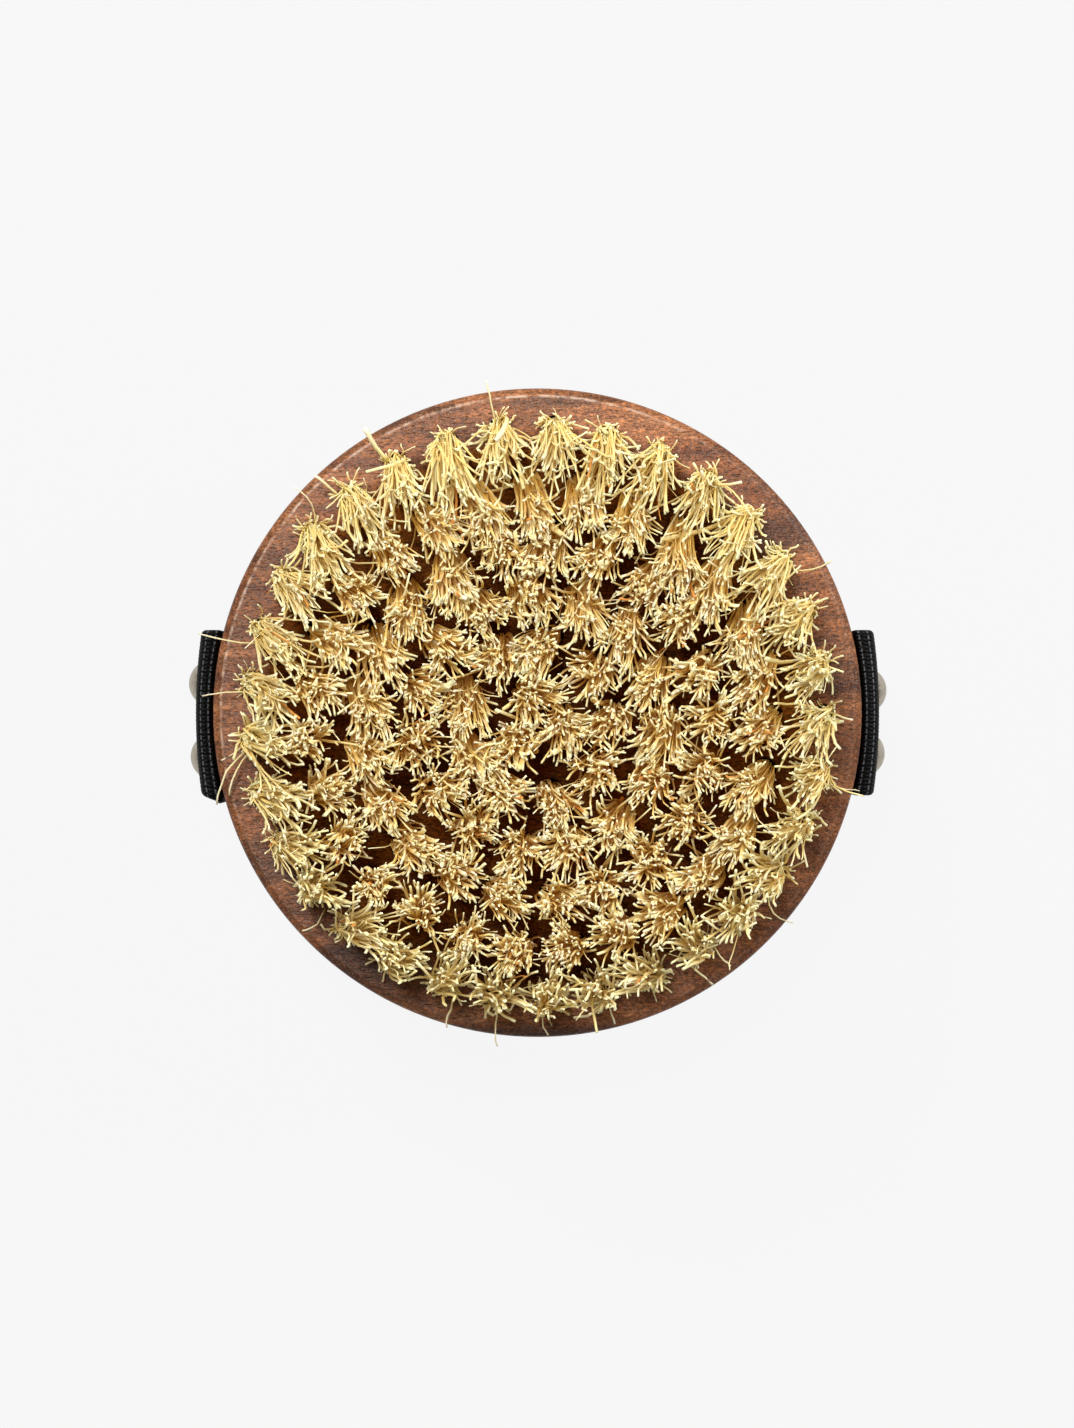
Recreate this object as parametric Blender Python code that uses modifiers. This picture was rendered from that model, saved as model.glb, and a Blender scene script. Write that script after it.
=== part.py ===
"""Body brush: a round walnut board set with sisal tufts, and a webbing hand strap nailed to its side.

The brush lies on its strap with the bristles up. Units are metres and +Z is up. The origin is on the
surface that the strap rests on, under the board's centre, and X runs along the strap.
"""

import math

import bmesh
import bpy
from mathutils import Matrix, Vector

# Board
BOARD_RADIUS = 0.0625
BOARD_THICKNESS = 0.022
FACE_EDGE_RADIUS = 0.0016
BACK_EDGE_RADIUS = 0.0040
BOARD_FACETS = 66
EDGE_STEPS = 4

# Tufts: ring 1 is the innermost, and each ring holds more tufts than the one inside it.
# All of them lean inwards, by TIP_GATHER, and are swept a little along Y, by TIP_SWEEP.
RINGS = 6
FIRST_RING_TUFTS = 3
TUFTS_ADDED_PER_RING = 6
RIM_WIDTH = 0.0075
TUFT_HOLE_RADIUS = 0.0023
TUFT_HOLE_DEPTH = 0.0080
BRISTLE_LENGTH = 0.024
TIP_GATHER = 0.89
TIP_SWEEP = -0.0037
FIRST_TUFT_ANGLE = math.radians(-0.6)
TUFT_SIDES = 8
TUFT_GAP = 0.0006
TUFT_OVERLAP = 0.0004
ARCS_PER_RING = {1: 1, 2: 3, 3: 3, 4: 3, 5: 3}

# Strap: one length of webbing, folded under at both ends and nailed through the fold
WEBBING_WIDTH = 0.032
WEBBING_THICKNESS = 0.0015
HAND_GAP = 0.0285
CROWN_LENGTH = 0.050
FOLD_GAP = 0.0003
FOLD_BELOW_FACE = 0.0030
HEM_ABOVE_BACK = 0.0020
ACROSS_STEPS = 8
FOLD_STEPS = 6
ARCH_STEPS = 10

# Nails: how far each stands from the strap's middle line as hammered in by hand, as a share of the strap's
# width. Seen from outside, plus is the right-hand side.
NAIL_PLACES = {"right": (0.134, -0.244), "left": (-0.175, 0.262)}
NAIL_HEAD_RADIUS = 0.0040
NAIL_HEAD_HEIGHT = 0.0022
NAIL_SHANK_RADIUS = 0.0009
NAIL_BITE = 0.0090
NAIL_POINT = 0.0020
NAIL_FACETS = 16
DOME_STEPS = 4

# Clearance between pieces that touch
CLEARANCE = 0.0003

# Levels and radii that follow from the sizes
CROWN_MIDDLE_Z = WEBBING_THICKNESS / 2
BACK_Z = WEBBING_THICKNESS + HAND_GAP
FACE_Z = BACK_Z + BOARD_THICKNESS
TIP_Z = FACE_Z + BRISTLE_LENGTH
HOLE_FLOOR_Z = FACE_Z - TUFT_HOLE_DEPTH
OUTER_RING_RADIUS = BOARD_RADIUS - RIM_WIDTH
RING_PITCH = OUTER_RING_RADIUS / (RINGS - 0.5)
HEM_RADIUS = BOARD_RADIUS + CLEARANCE + WEBBING_THICKNESS / 2
STRAP_RADIUS = HEM_RADIUS + WEBBING_THICKNESS + FOLD_GAP
NAIL_SEAT_RADIUS = STRAP_RADIUS + WEBBING_THICKNESS / 2 + CLEARANCE
NAIL_Z = BACK_Z + (BOARD_THICKNESS - TUFT_HOLE_DEPTH) / 2
PILOT_HOLE_RADIUS = NAIL_SHANK_RADIUS + CLEARANCE
HOLE_OVERCUT = 0.002
NAIL_OFFSETS = {side: [share * WEBBING_WIDTH for share in places] for side, places in NAIL_PLACES.items()}


def clear_scene():
    for obj in list(bpy.data.objects):
        bpy.data.objects.remove(obj, do_unlink=True)


def make_collection(name):
    collection = bpy.data.collections.new(name)
    bpy.context.scene.collection.children.link(collection)
    return collection


def make_material(name, colour, roughness, metallic=0.0):
    material = bpy.data.materials.new(name)
    material.use_nodes = True
    shader = material.node_tree.nodes["Principled BSDF"]
    shader.inputs["Base Color"].default_value = (*colour, 1.0)
    shader.inputs["Roughness"].default_value = roughness
    shader.inputs["Metallic"].default_value = metallic
    return material


def add_object(name, mesh, collection, material=None):
    obj = bpy.data.objects.new(name, mesh)
    collection.objects.link(obj)
    if material:
        mesh.materials.append(material)
    return obj


def mesh_from(name, build):
    """A mesh filled by build, a function that takes an empty bmesh."""
    mesh = bpy.data.meshes.new(name)
    bm = bmesh.new()
    build(bm)
    bm.to_mesh(mesh)
    bm.free()
    return mesh


def make_helper(obj):
    """Keeps a cutter, or a piece that is joined into another, out of the render."""
    obj.hide_render = True
    obj.display_type = "WIRE"


def arc_points(centre, radius, start, end, steps):
    """Points of an arc in the XZ plane, from start to end in degrees, as (x, z)."""
    angles = [math.radians(start + (end - start) * i / steps) for i in range(steps + 1)]
    return [(centre[0] + radius * math.cos(a), centre[1] + radius * math.sin(a)) for a in angles]


def turned(name, profile, steps, collection, material):
    """A body of revolution about Z. The profile runs down its outer side, from the axis to the axis."""

    def build(bm):
        points = [bm.verts.new((x, 0.0, z)) for x, z in profile]
        for upper, lower in zip(points, points[1:]):
            bm.edges.new((upper, lower))

    obj = add_object(name, mesh_from(name, build), collection, material)
    screw = obj.modifiers.new("turn", "SCREW")
    screw.steps = steps
    screw.render_steps = steps
    screw.use_merge_vertices = True
    screw.merge_threshold = 1e-5
    screw.use_smooth_shade = True
    return obj


def cut(obj, cutter):
    boolean = obj.modifiers.new("cut " + cutter.name, "BOOLEAN")
    boolean.operation = "DIFFERENCE"
    boolean.object = cutter


# Tuft places


def tufts_in(ring):
    return FIRST_RING_TUFTS + TUFTS_ADDED_PER_RING * (ring - 1)


def hole_ring_radius(ring):
    return RING_PITCH * (ring - 0.5)


def tip_ring_radius(ring):
    return hole_ring_radius(ring) * TIP_GATHER


def tuft_angle(ring, index):
    return FIRST_TUFT_ANGLE + 2 * math.pi * index / tufts_in(ring)


# Board


def tuft_hole_cutter(collection):
    depth = TUFT_HOLE_DEPTH + HOLE_OVERCUT
    middle_z = HOLE_FLOOR_Z + depth / 2
    corner_radius = TUFT_HOLE_RADIUS / math.cos(math.pi / TUFT_SIDES)

    def build(bm):
        for ring in range(1, RINGS + 1):
            for index in range(tufts_in(ring)):
                turn = Matrix.Rotation(tuft_angle(ring, index), 4, "Z")
                place = Matrix.Translation((hole_ring_radius(ring), 0, middle_z))
                face_outward = Matrix.Rotation(math.pi / TUFT_SIDES, 4, "Z")
                bmesh.ops.create_cone(
                    bm, cap_ends=True, segments=TUFT_SIDES, radius1=corner_radius,
                    radius2=corner_radius, depth=depth, matrix=turn @ place @ face_outward)

    cutter = add_object("tuft_holes", mesh_from("tuft_holes", build), collection)
    make_helper(cutter)
    return cutter


def nail_direction(side, offset):
    """The angle about Z at which a nail goes in, square to the board's round side."""
    angle = math.asin(offset / BOARD_RADIUS)
    return angle if side == "right" else angle + math.pi


def nail_hole_cutter(collection):
    inner_end = BOARD_RADIUS - NAIL_BITE - CLEARANCE
    outer_end = NAIL_SEAT_RADIUS + HOLE_OVERCUT

    def build(bm):
        for side, offsets in NAIL_OFFSETS.items():
            for offset in offsets:
                turn = Matrix.Rotation(nail_direction(side, offset), 4, "Z")
                place = Matrix.Translation(((inner_end + outer_end) / 2, 0, NAIL_Z))
                lay_along_x = Matrix.Rotation(math.pi / 2, 4, "Y")
                bmesh.ops.create_cone(
                    bm, cap_ends=True, segments=TUFT_SIDES, radius1=PILOT_HOLE_RADIUS,
                    radius2=PILOT_HOLE_RADIUS, depth=outer_end - inner_end,
                    matrix=turn @ place @ lay_along_x)

    cutter = add_object("nail_holes", mesh_from("nail_holes", build), collection)
    make_helper(cutter)
    return cutter


def make_board(parts, walnut, tuft_holes, nail_holes):
    face_edge = (BOARD_RADIUS - FACE_EDGE_RADIUS, FACE_Z - FACE_EDGE_RADIUS)
    back_edge = (BOARD_RADIUS - BACK_EDGE_RADIUS, BACK_Z + BACK_EDGE_RADIUS)
    profile = [(0.0, FACE_Z)]
    profile += arc_points(face_edge, FACE_EDGE_RADIUS, 90, 0, EDGE_STEPS)
    profile += arc_points(back_edge, BACK_EDGE_RADIUS, 0, -90, EDGE_STEPS)
    profile += [(0.0, BACK_Z)]
    board = turned("board", profile, BOARD_FACETS, parts, walnut)
    cut(board, tuft_holes)
    cut(board, nail_holes)
    return board


# Tufts


def tuft_section(angle, radius, sweep, z, inward, minus_side, plus_side):
    """An eight-sided outline of a tuft, given its half widths along the radius and to each side."""
    corner = 1 / math.cos(math.pi / TUFT_SIDES)
    points = []
    for i in range(TUFT_SIDES):
        a = 2 * math.pi * (i + 0.5) / TUFT_SIDES
        sideways = plus_side if math.sin(a) > 0 else minus_side
        local = Vector((radius + inward * corner * math.cos(a), sideways * corner * math.sin(a), z))
        points.append(Matrix.Rotation(angle, 3, "Z") @ local + Vector((0, sweep, 0)))
    return points


def loft(name, sections, collection, material):
    """A solid through closed outlines of as many points each, from the lowest to the highest."""

    def build(bm):
        rings = [[bm.verts.new(p) for p in section] for section in sections]
        count = len(sections[0])
        for lower, upper in zip(rings, rings[1:]):
            for i in range(count):
                j = (i + 1) % count
                bm.faces.new((lower[i], lower[j], upper[j], upper[i]))
        bm.faces.new(reversed(rings[0]))
        bm.faces.new(rings[-1])

    return add_object(name, mesh_from(name, build), collection, material)


def make_tuft(name, ring, index, joined_before, joined_after, collection, material):
    """One tuft: a neck in its hole, and a head that widens and leans towards the brush's middle.

    A head reaches a little into its neighbour on a joined side, and stops short of it on a free side.
    """
    angle = tuft_angle(ring, index)
    head_inward = (RING_PITCH * TIP_GATHER - TUFT_GAP) / 2
    narrow_radius = tip_ring_radius(ring) - head_inward * math.tan(math.pi / TUFT_SIDES)
    share = math.tan(math.pi / tufts_in(ring))
    joined_half = tip_ring_radius(ring) * share + TUFT_OVERLAP
    free_half = narrow_radius * share - TUFT_GAP / 2
    if ring == 1:
        joined_half = head_inward
    before = joined_half if joined_before else free_half
    after = joined_half if joined_after else free_half
    neck = TUFT_HOLE_RADIUS - CLEARANCE
    root = hole_ring_radius(ring)
    sections = [
        tuft_section(angle, root, 0.0, HOLE_FLOOR_Z + CLEARANCE, neck, neck, neck),
        tuft_section(angle, root, 0.0, FACE_Z, neck, neck, neck),
        tuft_section(angle, tip_ring_radius(ring), TIP_SWEEP, TIP_Z, head_inward, before, after),
    ]
    return loft(name, sections, collection, material)


def make_outer_tufts(parts, sisal):
    """The outer ring, where each tuft stands clear of its neighbours and is a piece of its own."""
    for index in range(tufts_in(RINGS)):
        make_tuft(f"tuft_outer_{index + 1:02d}", RINGS, index, False, False, parts, sisal)


def make_inner_tufts(parts, joined, sisal):
    """The inner rings, where the heads of neighbouring tufts run together, in arcs of several tufts."""
    for ring, arcs in ARCS_PER_RING.items():
        arc_length = tufts_in(ring) // arcs
        whole_ring = arcs == 1
        for arc in range(arcs):
            name = f"tufts_ring_{ring}" + ("" if whole_ring else "_" + "abc"[arc])
            others = bpy.data.collections.new(name + "_others")
            joined.children.link(others)
            for i in range(arc_length):
                first, last = i == 0, i == arc_length - 1
                tuft = make_tuft(
                    name if first else f"{name}_{i + 1}", ring, arc * arc_length + i,
                    whole_ring or not first, whole_ring or not last,
                    parts if first else others, sisal)
                if first:
                    union = tuft.modifiers.new("join", "BOOLEAN")
                    union.operation = "UNION"
                    union.operand_type = "COLLECTION"
                    union.collection = others
                else:
                    make_helper(tuft)


# Strap


def across_webbing():
    """Places across the webbing, and how far each falls back from the middle where it hugs the board."""
    half = WEBBING_WIDTH / 2
    places = [-half + WEBBING_WIDTH * i / ACROSS_STEPS for i in range(ACROSS_STEPS + 1)]
    return [(y, STRAP_RADIUS - math.sqrt(STRAP_RADIUS**2 - y**2)) for y in places]


def webbing(name, line, side, collection, material):
    """Webbing along a line of (x, z, outward x, outward z, hug) points on the +X side.

    Hug is 1 where the webbing follows the board's round side and 0 where it is flat across.
    """

    def build(bm):
        rows = []
        for x, z, out_x, out_z, hug in line:
            rows.append([
                bm.verts.new((x - fall * hug * out_x, y, z - fall * hug * out_z))
                for y, fall in across_webbing()])
        for row, following in zip(rows, rows[1:]):
            for i in range(len(row) - 1):
                bm.faces.new((row[i], row[i + 1], following[i + 1], following[i]))

    obj = add_object(name, mesh_from(name, build), collection, material)
    obj.rotation_euler.z = 0.0 if side == "right" else math.pi
    solidify = obj.modifiers.new("thickness", "SOLIDIFY")
    solidify.thickness = WEBBING_THICKNESS
    solidify.offset = 0.0
    solidify.use_even_offset = True
    return obj


def make_strap_end(side, parts, material, nail_holes):
    """The nailed end: up the board's side as a hem, over the fold, and down again on the outside."""
    fold_radius = (STRAP_RADIUS - HEM_RADIUS) / 2
    fold_z = FACE_Z - FOLD_BELOW_FACE - fold_radius - WEBBING_THICKNESS / 2
    fold_centre = (HEM_RADIUS + fold_radius, fold_z)
    hem_end = (HEM_RADIUS, BACK_Z + HEM_ABOVE_BACK)
    strap_end = (STRAP_RADIUS, BACK_Z)
    folded = [hem_end, *arc_points(fold_centre, fold_radius, 180, 0, FOLD_STEPS), strap_end]
    line = [(x, z, 1.0, 0.0, 1.0) for x, z in folded]
    end = webbing(f"strap_end_{side}", line, side, parts, material)
    cut(end, nail_holes)
    return end


def arch_line():
    """A quarter of an ellipse from the board's back edge down to the crown of the strap."""
    crown_end = CROWN_LENGTH / 2
    reach = STRAP_RADIUS - crown_end
    drop = BACK_Z - CROWN_MIDDLE_Z
    start = math.asin(CLEARANCE / drop)
    end = math.acos(CLEARANCE / reach)
    line = []
    for i in range(ARCH_STEPS + 1):
        t = start + (end - start) * i / ARCH_STEPS
        outward = Vector((drop * math.cos(t), -reach * math.sin(t))).normalized()
        hug = math.cos(t) ** 2
        line.append((
            crown_end + reach * math.cos(t), BACK_Z - drop * math.sin(t), outward.x, outward.y, hug))
    return line


def make_crown(parts, material):
    """The middle of the strap, flat where the brush rests on it."""
    size = (CROWN_LENGTH, WEBBING_WIDTH, WEBBING_THICKNESS)

    def build(bm):
        bmesh.ops.create_cube(bm, size=1.0, matrix=Matrix.Diagonal((*size, 1.0)))

    crown = add_object("strap_crown", mesh_from("strap_crown", build), parts, material)
    crown.location.z = CROWN_MIDDLE_Z
    return crown


# Nails


def make_nail(name, side, offset, parts, material):
    """A nail with a domed head, whose flat underside seats on the strap."""
    sphere = (NAIL_HEAD_RADIUS**2 + NAIL_HEAD_HEIGHT**2) / (2 * NAIL_HEAD_HEIGHT)
    edge = math.degrees(math.acos(NAIL_HEAD_RADIUS / sphere))
    length = NAIL_SEAT_RADIUS - BOARD_RADIUS + NAIL_BITE
    profile = arc_points((0.0, NAIL_HEAD_HEIGHT - sphere), sphere, 90, edge, DOME_STEPS)
    profile += [
        (NAIL_SHANK_RADIUS, 0.0),
        (NAIL_SHANK_RADIUS, NAIL_POINT - length),
        (0.0, -length),
    ]
    nail = turned(name, profile, NAIL_FACETS, parts, material)
    angle = nail_direction(side, offset)
    nail.location = (NAIL_SEAT_RADIUS * math.cos(angle), NAIL_SEAT_RADIUS * math.sin(angle), NAIL_Z)
    nail.rotation_euler = (0.0, math.pi / 2, angle)
    return nail


def main():
    clear_scene()
    parts = make_collection("body_brush")
    cutters = make_collection("cutters")
    joined = make_collection("joined_tufts")
    walnut = make_material("walnut", (0.20, 0.085, 0.045), 0.45)
    sisal = make_material("sisal", (0.74, 0.58, 0.28), 0.6)
    black_webbing = make_material("webbing", (0.012, 0.012, 0.013), 0.75)
    nickel = make_material("nickel", (0.60, 0.55, 0.46), 0.35, 1.0)

    tuft_holes = tuft_hole_cutter(cutters)
    nail_holes = nail_hole_cutter(cutters)
    make_board(parts, walnut, tuft_holes, nail_holes)
    make_outer_tufts(parts, sisal)
    make_inner_tufts(parts, joined, sisal)
    for side, offsets in NAIL_OFFSETS.items():
        make_strap_end(side, parts, black_webbing, nail_holes)
        webbing(f"strap_arch_{side}", arch_line(), side, parts, black_webbing)
        for number, offset in enumerate(offsets, start=1):
            make_nail(f"nail_{side}_{number}", side, offset, parts, nickel)
    make_crown(parts, black_webbing)


main()
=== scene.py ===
"""Looks of the body brush: a turned walnut board, thousands of sisal fibres and a woven hand strap.

Everything is in the CAD model's frame: metres, +Z up, the strap resting on z = 0 and the bristles up.
"""

import math

import bmesh
import bpy
import numpy as np
from mathutils import Matrix, Vector


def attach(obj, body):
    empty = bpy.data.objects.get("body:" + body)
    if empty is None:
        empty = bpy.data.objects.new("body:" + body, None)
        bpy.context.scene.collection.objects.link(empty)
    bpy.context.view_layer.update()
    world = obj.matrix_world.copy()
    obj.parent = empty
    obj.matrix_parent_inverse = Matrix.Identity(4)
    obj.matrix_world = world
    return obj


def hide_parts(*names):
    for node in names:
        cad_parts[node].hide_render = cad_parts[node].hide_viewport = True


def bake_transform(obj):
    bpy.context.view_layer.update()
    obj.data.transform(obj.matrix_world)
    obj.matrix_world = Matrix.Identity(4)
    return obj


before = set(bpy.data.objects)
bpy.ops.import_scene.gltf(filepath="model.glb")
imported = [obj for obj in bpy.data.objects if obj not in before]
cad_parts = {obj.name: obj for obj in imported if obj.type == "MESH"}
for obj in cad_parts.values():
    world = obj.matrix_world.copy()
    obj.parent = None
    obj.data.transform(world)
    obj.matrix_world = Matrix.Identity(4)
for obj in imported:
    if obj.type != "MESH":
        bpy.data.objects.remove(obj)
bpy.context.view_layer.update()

# The board's sizes, as in the CAD model
BOARD_RADIUS = 0.0625
BACK_Z = 0.030
FACE_Z = 0.052
BACK_EDGE_RADIUS = 0.0040

# The edge of its face: a rounded crest, and a rounded edge a little further out and lower
CREST_RADIUS = 0.0005
CREST_PLACE = BOARD_RADIUS - 0.00165
FACE_EDGE_RADIUS = 0.0012
FACE_EDGE_DROP = 0.0016

# How finely the turned pieces are made, and the angle from which an edge shows as sharp
BOARD_STEPS = 192
NAIL_STEPS = 40
SHARP_ANGLE = math.radians(40)

# Extra points on the board's straight stretches, which keep the round edges' shading near the edges
FACE_STEPS = (0.020, 0.040)
SIDE_STEPS = (FACE_Z - 0.006, BACK_Z + 0.009)

# The tufts' holes and tips, as in the CAD model. The outermost ring is the last one
RINGS = 6
RING_PITCH = 0.010
FIRST_TUFT_ANGLE = math.radians(-0.6)
HOLE_RADIUS = 0.0023
HOLE_DEPTH = 0.008
TIP_Z = 0.076
TIP_GATHER = 0.89
TIP_SWEEP = -0.0037

# How far the tips of the inner rings lean to either side in turn
RING_TWIST = 0.0019

# The fibres in a tuft. Locks are small bundles that part and lean together. Angles are in radians
ROOT_DEPTH = 0.0003
FIBRES_IN_TUFT = 104
FIBRES_IN_OUTER_TUFT = 104
STUBS_IN_OUTER_TUFT = 18
LOCKS_IN_TUFT = 34
GOLDEN_ANGLE = 2.39996
TUFT_CONE = 0.045
TUFTS_BORDER = 0.0570
MAX_FLARE = 1.3
WAVINESS = 0.00009
SHORT_WAVINESS = 0.00008

# How much narrower than usual the tufts of each ring open
NARROW_RINGS = {RINGS: 0.57, RINGS - 1: 0.63, RINGS - 2: 0.78}
NARROW_INSIDE = 0.92

# Fibres' colours: amber toward the root of a fibre deep in a tuft, its own colour deepened there by
# painted shade; straw along one on the outside of a tuft, paler as painted light; and the tips' colours.
# None is made paler than PALEST
ROOT_AMBER = np.array((0.92, 0.56, 0.085))
OUTER_STRAW = np.array((0.87, 0.80, 0.37))
TIP_CREAM = np.array((0.87, 0.81, 0.50))
TIP_PALE = np.array((0.90, 0.82, 0.60))
TIP_LEMON = np.array((0.89, 0.88, 0.51))
TIP_GOLD = np.array((0.81, 0.67, 0.32))
RARE_ORANGE = np.array((0.62, 0.25, 0.05))
PALEST = 0.95

# Loose fibres over the rim: where each leaves its tuft, where it ends (x, y, z), and its width
STRAYS = (
    (-0.0078, 0.0549, -0.0099, 0.0634, 0.060, 0.00035),
    (0.0491, 0.0273, 0.0556, 0.0287, 0.066, 0.00040),
    (-0.0539, 0.0133, -0.0648, 0.0151, 0.058, 0.00045),
    (-0.0553, 0.0041, -0.0640, 0.0031, 0.056, 0.00040),
    (-0.0551, -0.0065, -0.0615, -0.0176, 0.054, 0.00055),
    (-0.0550, -0.0072, -0.0592, -0.0160, 0.054, 0.00050),
    (-0.0552, -0.0049, -0.0606, -0.0092, 0.056, 0.00030),
    (-0.0069, -0.0551, -0.0077, -0.0638, 0.058, 0.00040),
    (-0.0283, 0.0478, -0.0328, 0.0540, 0.062, 0.00100),
    (-0.0374, 0.0410, -0.0421, 0.0449, 0.062, 0.00070),
    (-0.0426, 0.0356, -0.0462, 0.0428, 0.060, 0.00032),
    (0.0540, -0.0128, 0.0616, -0.0148, 0.056, 0.00026),
    (0.0555, 0.0006, 0.0599, -0.0015, 0.060, 0.00040),
    (0.0440, -0.0345, 0.0490, -0.0400, 0.058, 0.00036),
    (0.0283, -0.0478, 0.0335, -0.0520, 0.057, 0.00045),
    (-0.0155, -0.0535, -0.0174, -0.0600, 0.058, 0.00045),
    (0.0010, -0.0556, 0.0020, -0.0616, 0.058, 0.00040),
    (0.0128, -0.0541, 0.0147, -0.0592, 0.058, 0.00045),
    (-0.0408, -0.0377, -0.0449, -0.0416, 0.058, 0.00040),
    (0.0335, -0.0443, 0.0368, -0.0483, 0.058, 0.00040),
)
STRAY_ROOT_Z = FACE_Z + 0.002
STRAY_LIFT = np.array((0, 0, 0.0015))

# The strap, as in the CAD model. Its hem lies on the board, and its outer layer on the hem
WEBBING_WIDTH = 0.032
WEBBING_THICKNESS = 0.0015
CLEARANCE = 0.0003
HEM_RADIUS = BOARD_RADIUS + CLEARANCE + WEBBING_THICKNESS / 2
STRAP_RADIUS = HEM_RADIUS + WEBBING_THICKNESS + CLEARANCE
FOLD_BELOW_FACE = 0.003
HEM_ABOVE_BACK = 0.002
CROWN_LENGTH = 0.050

# How much of the board's curve the outer layer follows, and how far the left hem's corner slants
OUTER_HUG = 0.56
HEM_SLANT = 0.0016

# The weave: its yarns across the strap and its crowns along it. It is finely made only near the fold.
# The fold's crest is measured along the webbing from its end, and each row of painted glints from the
# crest
YARN_PITCH = 0.00075
CROWN_PITCH = 0.0011
YARN_DEPTH = 0.00010
WOVEN_BELOW_FOLD = 0.004
FOLD_CREST = 0.01676
GLINT_ROW = 0.00045
GLINTS_PER_YARN = 0.62

# The nails: how far each is from the strap's middle line, in webbing widths, and the sizes of one
NAIL_PLACES = {"right": (0.134, -0.244), "left": (-0.175, 0.262)}
NAIL_HEAD_RADIUS = 0.0040
NAIL_HEAD_HEIGHT = 0.0022
NAIL_RIM_HEIGHT = 0.0003
NAIL_BEVEL = 0.0001
NAIL_SHANK_RADIUS = 0.0009
NAIL_POINT_LENGTH = 0.002
NAIL_TIP_DEPTH = 0.0130
NAIL_SEAT_RADIUS = STRAP_RADIUS + WEBBING_THICKNESS / 2 + CLEARANCE
NAIL_Z = (BACK_Z + FACE_Z - HOLE_DEPTH) / 2

# Where the photograph shows the board: its middle and radius in pixels, in a frame of 1074 x 1428
PHOTO_WIDTH = 1074
PHOTO_HEIGHT = 1428
BOARD_IN_PHOTO = (537.5, 712.7, 324.3)
CAMERA_DISTANCE = 0.75
SENSOR_WIDTH = 36.0

# The lamps' directions from the brush, as the highlights and shadows show them
KEY_DIRECTION = Vector((-0.50, 0.86, 1.05)).normalized()
HIGH_DIRECTION = Vector((-0.16, 0.29, 1.0)).normalized()
FILL_DIRECTION = Vector((1.0, 0.60, 0.75)).normalized()

# The backdrop's grey, which shows as nearly white, and the room's warm light
BACKDROP = (0.928, 0.928, 0.928, 1)
FLOOR_GLOW = 0.975
FLOOR_DROP = 0.0002
ROOM_LIGHT = (1.0, 0.94, 0.84, 1)
ROOM_STRENGTH = 0.14

UP = np.array((0.0, 0.0, 1.0))
LEVEL = np.array((1.0, 1.0, 0.0))

rng = np.random.default_rng(11)


# Materials


def new_material(name):
    material = bpy.data.materials.new(name)
    material.use_nodes = True
    tree = material.node_tree
    tree.nodes.clear()
    return material, tree


def node(tree, kind, settings=None, **sockets):
    """A shader node. Each socket is given a number, a colour or another node's output.

    A socket's name has _ for a space. One called i0, i1 and so on is named by its place.
    """
    made = tree.nodes.new("ShaderNode" + kind)
    for key, value in (settings or {}).items():
        setattr(made, key, value)
    for key, value in sockets.items():
        by_place = key[0] == "i" and key[1:].isdigit()
        socket = made.inputs[int(key[1:]) if by_place else key.replace("_", " ")]
        if isinstance(value, bpy.types.NodeSocket):
            tree.links.new(value, socket)
        else:
            socket.default_value = value
    return made


def scaled(tree, scale, rotation=(0, 0, 0)):
    """Texture coordinates with each axis multiplied, so that a feature may be long one way."""
    coordinates = tree.nodes.new("ShaderNodeTexCoord")
    mapping = node(tree, "Mapping", Vector=coordinates.outputs["Object"], Scale=scale,
                   Rotation=[math.radians(a) for a in rotation])
    return mapping.outputs["Vector"]


def noise(tree, vector, detail=2.0, roughness=0.5, distortion=0.0):
    return node(tree, "TexNoise", Vector=vector, Scale=1.0, Detail=detail, Roughness=roughness,
                Distortion=distortion).outputs["Fac"]


def ramp(tree, factor, stops):
    made = node(tree, "ValToRGB", Fac=factor)
    elements = made.color_ramp.elements
    while len(elements) < len(stops):
        elements.new(0.5)
    for element, (position, colour) in zip(elements, stops):
        element.position = position
        element.color = (*colour, 1.0) if len(colour) == 3 else colour
    return made.outputs["Color"]


def grey_ramp(tree, factor, stops):
    return ramp(tree, factor, [(position, (value, value, value)) for position, value in stops])


def mix(tree, factor, first, second, blend="MIX"):
    """Two colours mixed. The colour sockets of this node are its seventh and eighth."""
    made = tree.nodes.new("ShaderNodeMix")
    made.data_type = "RGBA"
    made.blend_type = blend
    for key, value in ((0, factor), (6, first), (7, second)):
        if isinstance(value, bpy.types.NodeSocket):
            tree.links.new(value, made.inputs[key])
        elif key and len(value) == 3:
            made.inputs[key].default_value = (*value, 1.0)
        else:
            made.inputs[key].default_value = value
    return made.outputs[2]


def multiply(tree, first, second):
    return mix(tree, 1.0, first, second, "MULTIPLY")


def maths(tree, operation, first, second=0.0):
    return node(tree, "Math", {"operation": operation}, i0=first, i1=second).outputs[0]


def finish_material(tree, **sockets):
    shader = node(tree, "BsdfPrincipled", **sockets)
    output = tree.nodes.new("ShaderNodeOutputMaterial")
    tree.links.new(shader.outputs[0], output.inputs["Surface"])


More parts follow.
